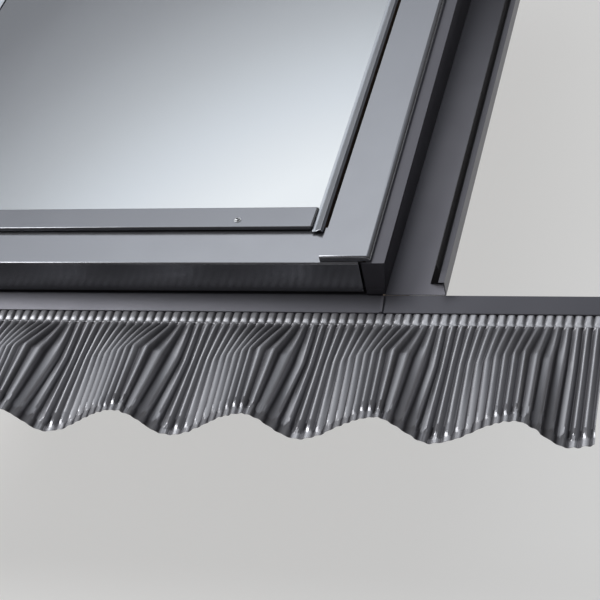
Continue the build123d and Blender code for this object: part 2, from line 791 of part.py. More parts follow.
gutter_fall = (gutter_floor_high - gutter_floor_low) / (2 * cover_front)
with BuildPart() as side_foam:
    add(foam_section(-cover_front + foam_end, gutter_floor_low + foam_end * gutter_fall))
    add(foam_section(cover_front - foam_end, gutter_floor_high - foam_end * gutter_fall))
    loft(ruled=True)
finish(side_foam.part, "side_foam_right")
mirrored(side_foam.part, "side_foam_left")

# Top flashing: an upstand behind the head cover and a tray up the slope, which laps over the gutters
lap_outer = gutter_outer - flashing_sheet - 1
top_flashing_path = [
    (tray_start, cover_top - top_upstand_drop),
    (tray_start, top_tray_z),
    (tray_end, top_tray_z),
    (tray_end, top_tray_z + top_tray_lip),
]
with BuildPart() as top_flashing:
    extrude(folded_sheet(across(-gutter_outer), top_flashing_path, bend_radius, flashing_sheet, Side.LEFT),
            amount=2 * gutter_outer)
    for side in (-1, 1):
        with Locations((side * gutter_outer, tray_start, top_tray_z + bend_radius)):
            Box(2 * (gutter_outer - side_flashing_outer), 4 * bend_radius, frame_top,
                align=(Align.CENTER, Align.CENTER, Align.MIN), mode=Mode.SUBTRACT)
        with Locations((side * (gutter_outer - flashing_sheet / 2), (tray_start + tray_end) / 2, top_tray_z)):
            Box(flashing_sheet, top_tray_depth, top_tray_lip, align=(Align.CENTER, Align.CENTER, Align.MIN))
        with Locations((side * (side_flashing_outer + lap_outer) / 2, tray_start, top_tray_z)):
            Box(lap_outer - side_flashing_outer, 2 * tray_lap, flashing_sheet,
                align=(Align.CENTER, Align.CENTER, Align.MIN))
finish(top_flashing.part, "top_flashing")
foam_floor = top_tray_z + flashing_sheet
top_foam = bar_between((foam_margin - gutter_outer, tray_end - foam_margin - foam_width, foam_floor),
                       (gutter_outer - foam_margin, tray_end - foam_margin, foam_floor + foam_height))
finish(top_foam, "top_foam")

# Pleated apron. Every station is a section across the apron: where the pleats stand, how deep they
# are, and how far the sheet has come down from the flat strip to the wave of the roof covering.


def wave(x):
    """1 on a crest, 0 in a valley, steep after the crest and gentle before the next."""
    along = (x - wave_crest_x) % wave_period
    if along < wave_fall:
        return (1 + math.cos(math.pi * along / wave_fall)) / 2
    return (1 - math.cos(math.pi * (along - wave_fall) / (wave_period - wave_fall))) / 2


def kink_shift(x):
    """Move of a pleat between the crease and the kink: it leans left, and stands wide apart from its
    neighbours on the steep side of each crest."""
    phase = ((x - wave_crest_x - spread_start) / wave_period) % 1
    if phase < spread_share:
        return kink_spread * phase / spread_share - kink_lean
    return kink_spread * (1 - phase) / (1 - spread_share) - kink_lean


def edge_shift(x):
    """Move of a pleat between the crease and the lower edge."""
    return -edge_lean - edge_swing * math.sin(2 * math.pi * (x - wave_crest_x) / wave_period)


def no_shift(x):
    """At the crease and above it no pleat leans."""
    return 0


def station(y, depth, crest_z, valley_z, shift):
    """Ridges and valleys of the pleats at y, as points on the upper and on the lower face of the sheet."""
    def middle(x):
        return valley_z + (crest_z - valley_z) * wave(x)

    half_pleat = flashing_half_width / pleat_count
    upper, lower = [], []
    for k in range(2 * pleat_count + 1):
        start = -flashing_half_width + k * half_pleat
        x = start + shift(start) * (1 - (start / flashing_half_width) ** 4)
        slope = (middle(x + 1) - middle(x - 1)) / 2
        norm = math.hypot(slope, 1)
        rise = depth / 2 if k % 2 else -depth / 2
        for face, points in ((apron_sheet / 2, upper), (-apron_sheet / 2, lower)):
            reach = rise + face
            points.append((x - slope / norm * reach, -y, middle(x) + reach / norm))
    return upper, lower


def folds(near, far):
    """One face of the sheet between two stations. Each half pleat is two flat triangles, which meet in
    a fold from the ridge at the upper station to the valley at the lower one."""
    triangles = []
    for k in range(2 * pleat_count):
        a, b, c, d = near[k], near[k + 1], far[k + 1], far[k]
        triangles += [(a, b, c), (a, c, d)] if k % 2 else [(a, b, d), (b, c, d)]
    return triangles


spread_start = 7
gather_z = strip_low_z - strip_fold - gather_drop
apron_low_edge = strip_low_edge + apron_reach
apron_stations = [
    station(strip_low_edge - apron_lap, gather_pleat, gather_z, gather_z, no_shift),
    station(strip_low_edge + crease_reach, gather_pleat, gather_z, gather_z, no_shift),
    station(strip_low_edge + kink_reach, full_pleat, kink_crest_z, kink_valley_z, kink_shift),
    station(apron_low_edge - press_width, full_pleat, edge_crest_z, edge_valley_z, edge_shift),
    station(apron_low_edge, pressed_pleat, edge_crest_z, edge_valley_z, edge_shift),
]
apron_faces = []
for (near_upper, near_lower), (far_upper, far_lower) in zip(apron_stations, apron_stations[1:]):
    apron_faces += folds(near_upper, far_upper) + folds(near_lower, far_lower)
    for end in (0, -1):
        apron_faces.append((near_upper[end], near_lower[end], far_lower[end]))
        apron_faces.append((near_upper[end], far_lower[end], far_upper[end]))
for upper, lower in (apron_stations[0], apron_stations[-1]):
    apron_faces.append(upper + lower[::-1])
with BuildPart() as apron:
    add(Solid(Shell([Face(Wire.make_polygon(points)) for points in apron_faces])))
finish(apron.part, "pleated_apron")

# Pivot hinge: the frame half is a plate on the jamb with a shoulder and a pin, the sash half a plate
# let into the stile with a bore for the pin
with BuildPart() as pivot_frame:
    with BuildSketch(Plane.YZ.offset(jamb_inner - pivot_plate_thickness)) as plate_outline:
        with Locations((0, pivot_z - pivot_plate_drop)):
            Rectangle(2 * pivot_plate_half_length, pivot_plate_height)
        chamfer(plate_outline.vertices(), pivot_plate_height / 5)
    extrude(amount=pivot_plate_thickness)
    with BuildSketch(Plane.YZ.offset(jamb_inner - pivot_plate_thickness)):
        with Locations((0, pivot_z)):
            Circle(pivot_shoulder_radius)
    extrude(amount=-(sash_to_jamb - pivot_plate_thickness - glass_gap))
    with BuildSketch(Plane.YZ.offset(jamb_inner - pivot_plate_thickness)):
        with Locations((0, pivot_z)):
            Circle(pivot_pin_radius)
    extrude(amount=-(sash_to_jamb - pivot_plate_thickness + sash_plate_thickness + pivot_pin_depth))
finish(pivot_frame.part, "pivot_frame_right")
mirrored(pivot_frame.part, "pivot_frame_left")

with BuildPart() as pivot_sash:
    with Locations((stile_outer - sash_plate_thickness / 2, 0, pivot_z - sash_plate_drop)):
        Box(sash_plate_thickness, 2 * sash_plate_half_length, sash_plate_height)
    with BuildSketch(Plane.YZ.offset(stile_outer)):
        with Locations((0, pivot_z)):
            Circle(pivot_pin_radius + pivot_running_gap)
    extrude(amount=-sash_plate_thickness, mode=Mode.SUBTRACT)
finish(pivot_sash.part, "pivot_sash_right")
mirrored(pivot_sash.part, "pivot_sash_left")

# Ventilation flap: closes the slot above the top rail and turns on a pin at each end
flap_free_edge = sash_end + flap_reach
flap_half_length = stile_inner - flap_side_gap
with BuildPart() as flap:
    with BuildSketch(across(-flap_half_length)):
        with Locations(((flap_axis_y + flap_free_edge) / 2, flap_axis_z)):
            Rectangle(flap_free_edge - flap_axis_y, flap_thickness)
        with Locations((flap_axis_y, flap_axis_z)):
            Circle(flap_thickness / 2)
    extrude(amount=2 * flap_half_length)
    with BuildSketch(across(-stile_inner - flap_pin_length + flap_side_gap)):
        with Locations((flap_axis_y, flap_axis_z)):
            Circle(flap_pin_radius)
    extrude(amount=2 * (stile_inner + flap_pin_length - flap_side_gap))
finish(flap.part, "ventilation_flap")

with BuildPart() as control_bar:
    with BuildSketch(across(-control_bar_half_length)):
        with Locations((control_bar_y, control_bar_z)):
            Circle(control_bar_radius)
    extrude(amount=2 * control_bar_half_length)
    chamfer(control_bar.edges().filter_by(GeomType.CIRCLE), control_bar_chamfer)
finish(control_bar.part, "control_bar")


def bar_arm(x):
    """Arm that hangs from the flap and holds the control bar in its eye."""
    with BuildPart() as arm:
        with BuildSketch(across(x - bar_arm_thickness / 2)) as arm_outline:
            with Locations((control_bar_y, flap_low)):
                Rectangle(bar_arm_width, flap_low - bar_arm_low, align=(Align.CENTER, Align.MAX))
            chamfer(arm_outline.vertices().group_by(Axis.Y)[0], bar_arm_corner)
            chamfer(arm_outline.vertices().group_by(Axis.Y)[-1].sort_by(Axis.X)[0], bar_arm_relief)
            with Locations((control_bar_y, control_bar_z)):
                Circle(control_bar_radius + pivot_running_gap, mode=Mode.SUBTRACT)
        extrude(amount=bar_arm_thickness)
    return arm.part


right_arm = bar_arm(control_bar_half_length - bar_arm_inset)
finish(right_arm, "bar_arm_right")
mirrored(right_arm, "bar_arm_left")

# Latch: a case on the top rail, a bolt that reaches through the strike plate
with BuildPart() as latch_case:
    with Locations((0, (top_rail_outer + latch_case_front) / 2, latch_bolt_z)):
        Box(latch_case_width, latch_case_depth, latch_case_height)
    fillet(latch_case.edges().filter_by(Axis.Y), latch_case_radius)
    with Locations((0, latch_case_front, latch_bolt_z)):
        Box(latch_bolt_width + 2 * latch_side_gap, 2 * (latch_case_depth - latch_wall),
            latch_bolt_height + 2 * latch_side_gap, mode=Mode.SUBTRACT)
finish(latch_case.part, "latch_case")

with BuildPart() as latch_bolt:
    with Locations((0, (latch_bolt_rear + latch_bolt_tip) / 2, latch_bolt_z)):
        Box(latch_bolt_width, latch_bolt_tip - latch_bolt_rear, latch_bolt_height)
    chamfer(latch_bolt.faces().sort_by(Axis.Y)[-1].edges().sort_by(Axis.Z)[-1], latch_bolt_chamfer)
finish(latch_bolt.part, "latch_bolt")

# Air filter, on the top rail at both sides of the latch
filter_from = latch_case_width / 2 + filter_gap
filter_to = stile_inner - filter_margin
with BuildPart() as air_filter:
    for side in (-1, 1):
        with Locations((side * (filter_from + filter_to) / 2, top_rail_outer, sash_top)):
            Box(filter_to - filter_from, filter_depth, filter_height,
                align=(Align.CENTER, Align.MIN, Align.MAX))
finish(air_filter.part, "air_filter")

# Barrel bolt on the room side of the sash, its guide with two lugs, and its bush in the jamb
guide_from = stile_inner - guide_overhang
guide_to = stile_outer - guide_lug
guide_low = barrel_z - barrel_radius - guide_plate
with BuildPart() as bolt_guide:
    add(bar_between((guide_from, barrel_y - guide_width / 2, sash_bottom - guide_plate),
                    (guide_to, barrel_y + guide_width / 2, sash_bottom)))
    for x in (guide_from, guide_to - guide_lug):
        add(bar_between((x, barrel_y - guide_width / 2, guide_low),
                        (x + guide_lug, barrel_y + guide_width / 2, sash_bottom)))
    with BuildSketch(across(guide_from)):
        with Locations((barrel_y, barrel_z)):
            Circle(barrel_radius + barrel_gap)
    extrude(amount=guide_to - guide_from, mode=Mode.SUBTRACT)
finish(bolt_guide.part, "barrel_bolt_guide")

with BuildPart() as barrel_bolt:
    with BuildSketch(across(guide_from - barrel_tail)):
        with Locations((barrel_y, barrel_z)):
            Circle(barrel_radius)
    extrude(amount=barrel_tip - guide_from + barrel_tail)
    chamfer(barrel_bolt.faces().sort_by(Axis.X)[-1].edges(), barrel_radius / 4)
    with Locations((guide_from + guide_lug + knob_radius + 2, barrel_y, barrel_z)):
        Cylinder(knob_radius, knob_length, align=(Align.CENTER, Align.CENTER, Align.MAX))
finish(barrel_bolt.part, "barrel_bolt")

with BuildPart() as bolt_bush:
    with BuildSketch(across(jamb_inner)):
        with Locations((barrel_y, barrel_z)):
            RectangleRounded(bush_width, bush_width, bush_radius)
            Rectangle(bush_hole, bush_hole, mode=Mode.SUBTRACT)
    extrude(amount=bush_depth)
finish(bolt_bush.part, "barrel_bolt_bush")


# Mounting brackets: an angle on the battens, screwed to the jamb
def bracket(x_sign, y_sign):
    """Angle bracket at one corner, with a hole for the batten screw."""
    inner = x_sign * half_width
    y = y_sign * bracket_y
    with BuildPart() as angle:
        with Locations((inner + x_sign * bracket_reach / 2, y, bracket_thickness / 2)):
            Box(bracket_reach, bracket_width, bracket_thickness)
        with Locations((inner + x_sign * bracket_leg_thickness / 2, y, bracket_leg / 2)):
            Box(bracket_leg_thickness, bracket_width, bracket_leg)
        with Locations((x_sign * bracket_hole_x, y, 0)):
            Cylinder(bracket_hole_radius, 4 * bracket_thickness, mode=Mode.SUBTRACT)
    return angle.part


for y_sign, y_name in ((-1, "lower"), (1, "upper")):
    for x_sign, x_name in ((-1, "left"), (1, "right")):
        finish(bracket(x_sign, y_sign), f"bracket_{y_name}_{x_name}")

# Two screws with hexagon heads hold each bracket to its jamb
with BuildPart() as bracket_screws:
    for x_sign in (-1, 1):
        with BuildSketch(Plane.YZ.offset(x_sign * (half_width + bracket_leg_thickness))):
            for y_sign in (-1, 1):
                for shift in (-bracket_width / 4, bracket_width / 4):
                    with Locations((y_sign * bracket_y + shift, bracket_screw_z)):
                        RegularPolygon(screw_head_radius, 6)
        extrude(amount=x_sign * screw_head_height)
finish(bracket_screws.part, "bracket_screws")
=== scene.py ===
# %% [markdown]
# # A roof window, dressed for a close look
# The rigid pieces come from a CAD model and already have their real size and place. This lesson
# gives them finishes, makes the pleated apron again in a finer mesh, and sets up a camera, a floor
# and soft light. Lengths are in metres. X runs along the eaves, Y up the slope and Z out of the roof.

# %% Load the frame
import math

import bmesh
import bpy
from mathutils import Matrix, Vector, noise


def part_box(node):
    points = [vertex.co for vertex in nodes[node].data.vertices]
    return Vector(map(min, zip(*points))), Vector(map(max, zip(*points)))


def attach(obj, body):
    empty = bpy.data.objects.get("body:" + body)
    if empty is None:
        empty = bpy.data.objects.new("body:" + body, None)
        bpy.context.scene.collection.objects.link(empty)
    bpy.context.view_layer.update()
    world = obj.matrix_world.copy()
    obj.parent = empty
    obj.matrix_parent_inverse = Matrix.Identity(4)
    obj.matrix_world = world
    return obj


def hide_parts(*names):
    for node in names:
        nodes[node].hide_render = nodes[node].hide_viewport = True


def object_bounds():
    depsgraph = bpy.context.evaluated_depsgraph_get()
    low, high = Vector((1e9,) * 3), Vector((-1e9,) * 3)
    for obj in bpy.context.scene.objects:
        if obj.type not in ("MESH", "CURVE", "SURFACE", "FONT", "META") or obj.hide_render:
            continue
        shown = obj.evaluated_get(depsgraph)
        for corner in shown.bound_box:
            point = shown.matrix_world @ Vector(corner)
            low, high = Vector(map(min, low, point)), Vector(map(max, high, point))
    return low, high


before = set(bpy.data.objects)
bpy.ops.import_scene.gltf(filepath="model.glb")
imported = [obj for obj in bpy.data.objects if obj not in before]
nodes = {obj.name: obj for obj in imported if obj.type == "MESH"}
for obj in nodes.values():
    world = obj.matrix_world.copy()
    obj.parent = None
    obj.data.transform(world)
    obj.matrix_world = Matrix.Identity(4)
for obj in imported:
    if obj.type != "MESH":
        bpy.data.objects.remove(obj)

cad_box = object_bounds()

# %% [markdown]
# ## Camera
# The window is seen from its lower right corner, close by, with a long lens that flattens the
# perspective. A camera looks along its own -Z with +Y up, so three directions at right angles are
# all that its turn needs.

# %% Camera
def turned(forward, up):
    """Matrix of an object whose -Z looks forward and whose +Y points up."""
    back = -Vector(forward).normalized()
    right = Vector(up).cross(back).normalized()
    return Matrix((right, back.cross(right), back)).transposed().to_4x4()


camera_place = (0.8560, -2.0153, 1.3184)
camera_forward = (-0.28515, 0.71232, -0.64131)
camera_up = (-0.00745, 0.66742, 0.74464)
camera_data = bpy.data.cameras.new("close_view")
camera_data.lens = 100.37
camera_data.sensor_width = 36
camera = bpy.data.objects.new("close_view", camera_data)
bpy.context.collection.objects.link(camera)
camera.matrix_world = Matrix.Translation(camera_place) @ turned(camera_forward, camera_up)
bpy.context.scene.camera = camera
bpy.context.scene.view_settings.view_transform = "Standard"
print("camera at", camera_place, "with a", camera_data.lens, "mm lens")

# %% [markdown]
# ## Finishes
# Each finish is one Principled shader fed by noise in Object coordinates. All objects sit at the
# origin, so Object coordinates are real metres, and a noise scale of 1000 gives grains of about a
# millimetre on every piece. Nodes are usually made in the editor. In a script, two helpers that
# start a finish and add one node keep that to a line each.

# %% A finish and its nodes
def new_finish(name, metallic=0.0, **constants):
    """A material with one Principled shader, whose constant sockets are set directly."""
    material = bpy.data.materials.new(name)
    material.use_nodes = True
    shader = material.node_tree.nodes["Principled BSDF"]
    shader.inputs["Metallic"].default_value = metallic
    for key, value in constants.items():
        shader.inputs[key.replace("_", " ")].default_value = value
    return material, shader


def add_node(material, kind, settings=None, **inputs):
    """Add a node. An input is a value, or the socket that feeds it."""
    made = material.node_tree.nodes.new(kind)
    for key, value in (settings or {}).items():
        setattr(made, key, value)
    for key, value in inputs.items():
        socket = made.inputs[key.replace("_", " ")]
        if isinstance(value, bpy.types.NodeSocket):
            material.node_tree.links.new(value, socket)
        else:
            socket.default_value = value
    return made


print(len(bpy.data.materials), "plain materials come with the CAD model")

# %% [markdown]
# Three more helpers make the patterns: noise at a real scale, a blend between two colours or
# numbers, and a relief. A value that is the same all over is set on the shader's own socket
# instead, because the export reads it there.

# %% Patterns
def noise_at(material, scale, stretch=(1, 1, 1), detail=2.0, rough=0.5):
    """Noise in metres of the object, finer across the axes that are stretched more."""
    place = add_node(material, "ShaderNodeTexCoord").outputs["Object"]
    mapped = add_node(material, "ShaderNodeMapping", Vector=place, Scale=stretch).outputs["Vector"]
    return add_node(material, "ShaderNodeTexNoise", Vector=mapped, Scale=scale, Detail=detail,
                    Roughness=rough).outputs["Fac"]


def between(material, factor, low, high):
    """A colour or a number that runs from low to high with the factor."""
    if isinstance(low, tuple):
        mixed = add_node(material, "ShaderNodeMix", {"data_type": "RGBA"})
        for index, value in ((6, low), (7, high)):
            mixed.inputs[index].default_value = (*value, 1)
        material.node_tree.links.new(factor, mixed.inputs[0])
        return mixed.outputs[2]
    return add_node(material, "ShaderNodeMapRange", Value=factor, From_Min=0.3, From_Max=0.7,
                    To_Min=low, To_Max=high).outputs["Result"]


def feed(material, shader, **sockets):
    """Connect sockets to the shader's inputs."""
    for key, socket in sockets.items():
        material.node_tree.links.new(socket, shader.inputs[key.replace("_", " ")])


def bumped(material, shader, height, distance, strength=1.0):
    """Raise the surface by a height, whose full range is a distance in metres."""
    bump = add_node(material, "ShaderNodeBump", Height=height, Distance=distance, Strength=strength)
    feed(material, shader, Normal=bump.outputs["Normal"])


print("noise at a scale of 1000 has grains of about 1 mm, and at 10 of about 100 mm")

# %% [markdown]
# A piece of the CAD model keeps its mesh. It is dressed by putting a finish in its material slots,
# so that it stays on its own moving body.

# %% Dress a CAD piece
def dress(material, *names):
    """Give the finish to CAD nodes."""
    for name in names:
        for slot in nodes[name].material_slots:
            slot.material = material
    print(material.name, "on", len(names), "nodes")


print(sum(len(node.material_slots) for node in nodes.values()), "material slots to fill")

# %% [markdown]
# ## Coated sheet metal
# The covers are folded aluminium with a satin grey coat that lets the metal shine through, so they
# are bright where they mirror the sky and nearly black where they mirror the ground. A high Metallic
# with a mid grey gives that. The coat's skin is slightly uneven, like the peel of an orange.

# %% Coated sheet metal
def coated_metal(name, dark, light, gloss, metallic):
    """Satin coat on sheet metal: two close greys, uneven gloss and a fine peel."""
    material, shader = new_finish(name, metallic=metallic)
    cloud = noise_at(material, 9, detail=3)
    wear = noise_at(material, 25, detail=3)
    peel = noise_at(material, 1100, detail=1)
    feed(material, shader, Base_Color=between(material, cloud, dark, light),
         Roughness=between(material, wear, gloss - 0.015, gloss + 0.02))
    bumped(material, shader, peel, 0.00001, 0.4)
    return material


cover_coat = coated_metal("cover_coat", (0.292, 0.298, 0.322), (0.310, 0.317, 0.342), 0.235, 0.88)
profile_coat = coated_metal("profile_coat", (0.50, 0.525, 0.565), (0.54, 0.565, 0.605), 0.30, 0.85)
# The strip and the flashings get far darker greys than the covers: painted shade of the dim sky these
# sheets mirror, a little darker still on the strip.
strip_coat_painted_shade = coated_metal("strip_coat_painted_shade", (0.092, 0.092, 0.107), (0.108, 0.108, 0.124), 0.36, 0.6)
flashing_coat_painted_shade = coated_metal("flashing_coat_painted_shade", (0.098, 0.096, 0.111), (0.118, 0.116, 0.134), 0.36, 0.6)
# A near-black finish that paints the shade of the groove beside each glazing profile.
painted_groove_shade = coated_metal("painted_groove_shade", (0.012, 0.012, 0.013), (0.018, 0.018, 0.020), 0.55, 0.0)
sides = ("right", "left")
dress(cover_coat, "bottom_frame_cover", "head_cover", "sash_bottom_cover", "sash_top_cover", "top_hood",
      *[f"{part}_side_cover_{side}" for part in ("lower", "upper") for side in sides])
dress(strip_coat_painted_shade, "bottom_flashing")
dress(flashing_coat_painted_shade, "top_flashing",
      *[f"{part}_{side}" for part in ("side_flashing", "corner_seam") for side in sides])

# %% [markdown]
# Sheet metal has no perfectly sharp edges: each one has a small radius, which catches a thin line
# of light. The CAD model leaves the smallest radii out. A Weld modifier joins its loose triangles,
# and a Bevel modifier then rounds every edge that turns by more than a set angle, without touching
# the mesh. The flashings get less, so that they still meet without a gap.

# %% Rounded edges
sharp_angle = math.radians(35)


def add_bevel(piece, width):
    """Round every edge that turns by more than the sharp angle."""
    rounding = piece.modifiers.new("rounding", "BEVEL")
    rounding.width = width
    rounding.segments = 2
    rounding.limit_method = "ANGLE"
    rounding.angle_limit = sharp_angle


def rounded(width, *names):
    """Round the sharp edges of CAD nodes by a width in metres."""
    for name in names:
        nodes[name].modifiers.new("joined", "WELD").merge_threshold = 0.000002
        add_bevel(nodes[name], width)
    print("rounded", len(names), "nodes by", width * 1000, "mm")


cover_rounding = 0.00058
flashing_rounding = 0.0001
bar_rounding = 0.0006
rounded(cover_rounding, "bottom_frame_cover", "head_cover", "sash_bottom_cover", "sash_top_cover",
        "top_hood", *[f"{part}_side_cover_{side}" for part in ("lower", "upper") for side in sides])
rounded(flashing_rounding, "bottom_flashing", "top_flashing",
        *[f"side_flashing_{side}" for side in sides])
rounded(bar_rounding, "control_bar", *[f"bar_arm_{side}" for side in sides])

# %% [markdown]
# ## Glazing profiles
# A folded profile holds each side of the glass. Its lip lies on the pane, a wide flank rises to a
# ridge, a steep one falls, and a wall clips over the timber. At the lower end the wall stops short
# and the open end shows. The section's six points are extruded twice along the glass, and the faces
# of the wall in the short lower stretch are deleted. That is simpler than cutting a finished tube.
# Each point is a distance from the profile's box across and from the glass in height. A near-black
# finish on the wall's outer face paints the shade of the groove beside it.

# %% Glazing profiles
glass_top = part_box("outer_pane")[1][2]
profile_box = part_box("glazing_profile_right")
sill_edge = -0.536
profile_sheet = 0.0008
profile_rounding = 0.00025
facing_out = 0.95


def profile(side, sign):
    """One glazing profile, built on the right and mirrored for the left."""
    made = bmesh.new()
    (inner, low_y, low_z), (outer, high_y, _) = profile_box
    section = [(inner, glass_top + 0.0009), (inner + 0.0029, glass_top + 0.0011),
               (inner + 0.0032, glass_top + 0.0004), (outer - 0.0021, glass_top + 0.0034),
               (outer, glass_top + 0.0004), (outer, low_z)]
    ends = [made.verts.new((x, low_y, z)) for x, z in section]
    edges = [made.edges.new(pair) for pair in zip(ends, ends[1:])]
    for y in (sill_edge, high_y):
        grown = bmesh.ops.extrude_edge_only(made, edges=edges)["geom"]
        moved = [part for part in grown if isinstance(part, bmesh.types.BMVert)]
        edges = [part for part in grown if isinstance(part, bmesh.types.BMEdge)
                 and all(vertex in moved for vertex in part.verts)]
        for vertex in moved:
            vertex.co.y = y
    wall = [face for face in made.faces
            if face.calc_center_median().y < sill_edge and abs(face.normal.x) > facing_out]
    bmesh.ops.delete(made, geom=wall, context="FACES")
    bmesh.ops.solidify(made, geom=made.faces[:], thickness=profile_sheet)
    bmesh.ops.scale(made, verts=made.verts, vec=(sign, 1, 1))
    bmesh.ops.recalc_face_normals(made, faces=made.faces)
    data = bpy.data.meshes.new(f"folded_profile_{side}")
    made.to_mesh(data)
    made.free()
    piece = bpy.data.objects.new(data.name, data)
    bpy.context.collection.objects.link(piece)
    data.materials.append(profile_coat)
    data.materials.append(painted_groove_shade)
    # The wall's outward faces get the near-black painted shade of the groove.
    for polygon in data.polygons:
        polygon.material_index = 1 if polygon.normal.x * sign > facing_out else 0
    add_bevel(piece, profile_rounding)
    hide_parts(f"glazing_profile_{side}")
    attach(piece, "sash")
    print(data.name, len(data.polygons), "faces")


profile("right", 1)
profile("left", -1)

# %% [markdown]
# ## Glass
# Seen at this angle, the outer pane with its thin sun coating is a mirror of the sky more than a
# window. Two shaders could be mixed for that, but a high Metallic over full Transmission gives
# both with one: most of the light is mirrored, and the rest passes through. The inner pane is plain
# glass. Both are smooth and even all over, so their values are set directly.

# %% Glass
coated_glass = new_finish("coated_glass", metallic=0.88, Base_Color=(0.60, 0.613, 0.626, 1),
                          Roughness=0.02, IOR=1.5, Transmission_Weight=1.0)[0]
clear_glass = new_finish("clear_glass", Base_Color=(0.90, 0.95, 0.94, 1), Roughness=0.01,
                         IOR=1.5, Transmission_Weight=1.0)[0]
dress(coated_glass, "outer_pane")
dress(clear_glass, "inner_pane")

# %% [markdown]
# ## Timber
# The frame and sash are lacquered pine. A picture of wood would need its own unwrapping on each
# piece. Noise that is squeezed across the piece needs none, and its grain runs along the piece's
# length: along Y on the jambs and stiles, along X on the rest.

# %% Timber
def pine(name, along):
    """Lacquered pine with its grain along one axis."""
    material, shader = new_finish(name, Coat_Weight=0.35, Coat_Roughness=0.2)
    stretch = tuple(1 if axis == along else 22 for axis in "XYZ")
    grain = noise_at(material, 4, stretch, detail=5, rough=0.6)
    fibre = noise_at(material, 40, stretch, detail=3)
    tone = add_node(material, "ShaderNodeValToRGB", Fac=grain)
    late_wood, early_wood = tone.color_ramp.elements
    late_wood.position, late_wood.color = 0.36, (0.50, 0.27, 0.11, 1)
    early_wood.position, early_wood.color = 0.62, (0.76, 0.50, 0.26, 1)
    feed(material, shader, Base_Color=tone.outputs["Color"],
         Roughness=between(material, fibre, 0.36, 0.5))
    bumped(material, shader, fibre, 0.0002, 0.5)
    return material


dress(pine("pine_up_slope", "Y"),
      *[f"{part}_{side}" for part in ("frame_jamb", "sash_stile") for side in sides])
dress(pine("pine_across", "X"), "frame_sill", "frame_head", "sash_bottom_rail", "sash_top_rail",
      "ventilation_flap")

# %% [markdown]
# ## Rubber, plastic, foam and small metal
# These pieces are hidden, or seen only from the side and from the room. Each finish still has its
# own grain at its real scale, and one helper makes them all: the same noise sets the colour, the
# gloss and the relief, so that a hollow is also darker. The tone differs at random with the grain,
# and the darker hollows are painted shade.

# %% Small finishes
def grained(name, dark, light, scale, depth, rough, metallic=0.0, stretch=(1, 1, 1)):
    """A finish with one grain that drives its colour, its gloss and its relief."""
    material, shader = new_finish(name, metallic=metallic)
    grain = noise_at(material, scale, stretch, detail=3)
    # Low grain is both darker and deeper: painted shade in the hollows, over a random tone.
    feed(material, shader, Base_Color=between(material, grain, dark, light),
         Roughness=between(material, grain, rough, rough + 0.12))
    bumped(material, shader, grain, depth, 0.6)
    return material


dress(grained("rubber", (0.018, 0.018, 0.020), (0.032, 0.032, 0.034), 1400, 0.00004, 0.5),
      "glazing_gasket", "sill_gasket", "head_gasket", *[f"side_gasket_{side}" for side in sides])
moulded_black = grained("moulded_black", (0.020, 0.020, 0.023), (0.034, 0.034, 0.037),
                        2200, 0.00005, 0.38)
dress(moulded_black, "latch_case", "barrel_bolt_bush", *[f"sash_end_cap_{side}" for side in sides])
zinc_plate = grained("zinc_plate", (0.42, 0.43, 0.45), (0.56, 0.57, 0.58), 260, 0.00003, 0.26, 1.0)
dress(zinc_plate, "strike_plate", "latch_bolt", "barrel_bolt", "barrel_bolt_guide", "bracket_screws",
      *[f"pivot_{part}_{side}" for part in ("frame", "sash") for side in sides],
      *[f"bracket_{level}_{side}" for level in ("lower", "upper") for side in sides])
dress(grained("anodised", (0.60, 0.61, 0.63), (0.72, 0.73, 0.74), 300, 0.00002, 0.3, 1.0, (0.05, 1, 1)),
      "control_bar", "bar_arm_right", "bar_arm_left")
dress(grained("mill_aluminium", (0.55, 0.56, 0.58), (0.66, 0.67, 0.68), 500, 0.00002, 0.35, 1.0),
      "spacer_frame")
dress(grained("soft_foam", (0.035, 0.035, 0.038), (0.075, 0.075, 0.080), 700, 0.0006, 0.85),
      "top_foam", *[f"side_foam_{side}" for side in sides])
dress(grained("filter_cloth", (0.55, 0.55, 0.53), (0.72, 0.72, 0.70), 1100, 0.0004, 0.9),
      "air_filter")

# %% [markdown]
# ## Screws of the sash cover
# Two screws with rounded heads hold the sash's lower cover. A head is a turned shape, so half its
# outline is drawn once and spun about its axis: a socket in the middle, the dome, and a flat washer.
# The outline's points are a radius and a height over the cover. The inside of the socket gets the black
# moulded finish, which paints its shade.

# %% Screws
screw_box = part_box("sash_cover_screws")
washer_radius = (screw_box[1][1] - screw_box[0][1]) / 2
screw_x = screw_box[1][0] - washer_radius
screw_y = (screw_box[0][1] + screw_box[1][1]) / 2
socket_edge = 0.0013
head_outline = [(0, -0.0004), (0.0011, -0.0004), (0.0012, 0.0021), (0.0020, 0.0020), (0.0029, 0.0014),
                (0.0032, 0.0006), (washer_radius - 0.0003, 0.0006), (washer_radius, 0.0003),
                (washer_radius, 0)]
screws = bmesh.new()
for sign in (-1, 1):
    centre = Vector((sign * screw_x, screw_y, screw_box[0][2]))
    points = [screws.verts.new(centre + Vector((radius, 0, rise))) for radius, rise in head_outline]
    edges = [screws.edges.new(pair) for pair in zip(points, points[1:])]
    bmesh.ops.spin(screws, geom=points + edges, cent=centre, axis=(0, 0, 1), angle=2 * math.pi,
                   steps=32, use_merge=True)
bmesh.ops.remove_doubles(screws, verts=screws.verts, dist=0.00001)
bmesh.ops.recalc_face_normals(screws, faces=screws.faces)
for face in screws.faces:
    face.smooth = True
    middle = face.calc_center_median()
    # Faces inside the socket take the black finish: painted shade in the recess.
    in_socket = math.hypot(abs(middle.x) - screw_x, middle.y - screw_y) < socket_edge
    face.material_index = 1 if in_socket else 0
screw_data = bpy.data.meshes.new("cover_screws")
screws.to_mesh(screw_data)
screws.free()
screw_data.set_sharp_from_angle(angle=math.radians(40))
